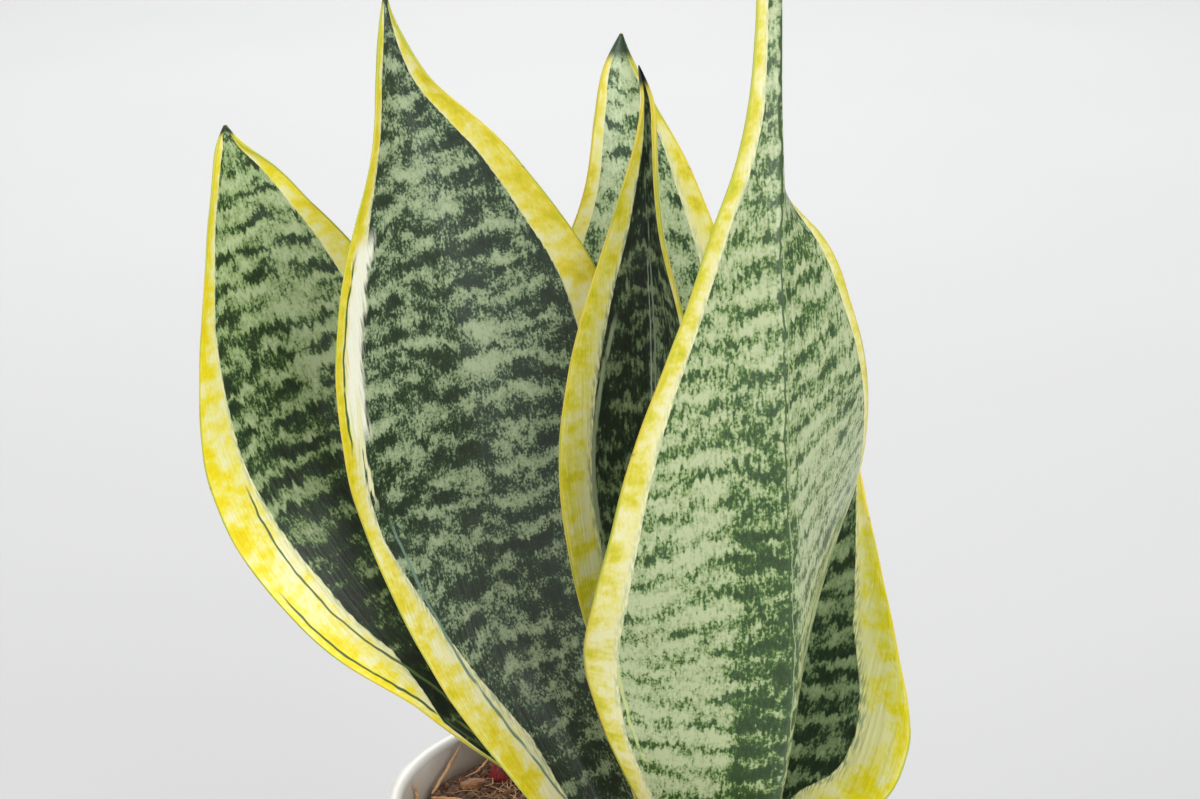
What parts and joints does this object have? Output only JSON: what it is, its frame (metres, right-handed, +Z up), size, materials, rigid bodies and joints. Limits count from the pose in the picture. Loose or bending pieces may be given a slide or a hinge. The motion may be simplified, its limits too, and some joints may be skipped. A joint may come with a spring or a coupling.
{
  "type": "potted snake plant",
  "caption": "Young snake plant with broad, mottled green leaves edged in yellow, rising as a loose rosette from coir soil in a plain tapered white pot with a rounded rim.",
  "frame": {"origin": "centre of the pot's flat foot, on the surface that it stands on", "axes": "+Z up; -Y is the plant's front, where the tall leaf turns its back; +X is to the right seen from the front"},
  "size_m": [0.1513, 0.104, 0.292],
  "materials": {
    "pot_glaze": "satin",
    "coir_soil": "matte",
    "crown_flesh": "matte",
    "leaf_blade": "satin",
    "red_scale": "satin",
    "coir_fibre": "matte",
    "husk": "matte"
  },
  "bodies": {
    "root": {"pot": "pot_glaze", "soil": "coir_soil", "crown": "crown_flesh", "leaf_far_left": "leaf_blade", "leaf_wide_left": "leaf_blade", "leaf_back": "leaf_blade", "leaf_centre_young": "leaf_blade", "leaf_front_tall": "leaf_blade", "leaf_low_right": "leaf_blade", "shoot_scale": "red_scale", "coir_strand_1": "coir_fibre", "coir_strand_2": "coir_fibre", "coir_strand_3": "coir_fibre", "coir_strand_4": "coir_fibre", "coir_strand_5": "coir_fibre", "husk_chip_1": "husk", "husk_chip_2": "husk", "husk_chip_3": "husk", "husk_chip_4": "husk", "husk_chip_5": "husk"}
  },
  "joints": []
}
